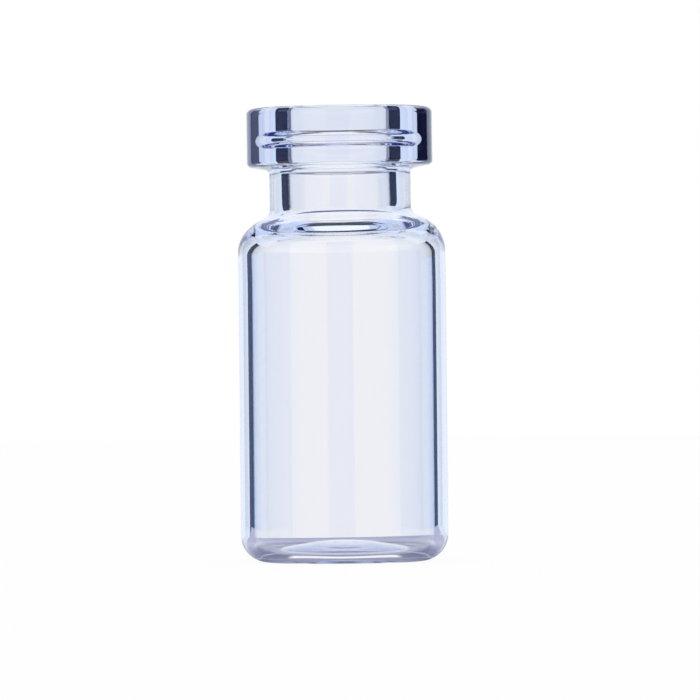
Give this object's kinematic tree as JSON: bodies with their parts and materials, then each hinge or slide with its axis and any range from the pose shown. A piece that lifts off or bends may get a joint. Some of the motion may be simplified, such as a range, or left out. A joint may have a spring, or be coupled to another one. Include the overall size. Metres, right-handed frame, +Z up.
{
  "type": "glass sample vial",
  "caption": "Clear tubing glass sample vial with a crimp flange, short neck, sloped shoulder, straight body and pushed-up base.",
  "frame": {"origin": "on the vial's axis, in the plane of the ring that it stands on", "axes": "+Z up along the axis of the vial, towards its mouth; the shape is the same all round, so X and Y are free"},
  "size_m": [0.0148, 0.0146, 0.0321],
  "materials": {
    "glass": "clear tubing glass, fire polished"
  },
  "bodies": {
    "root": {"vial": "glass"}
  },
  "joints": []
}
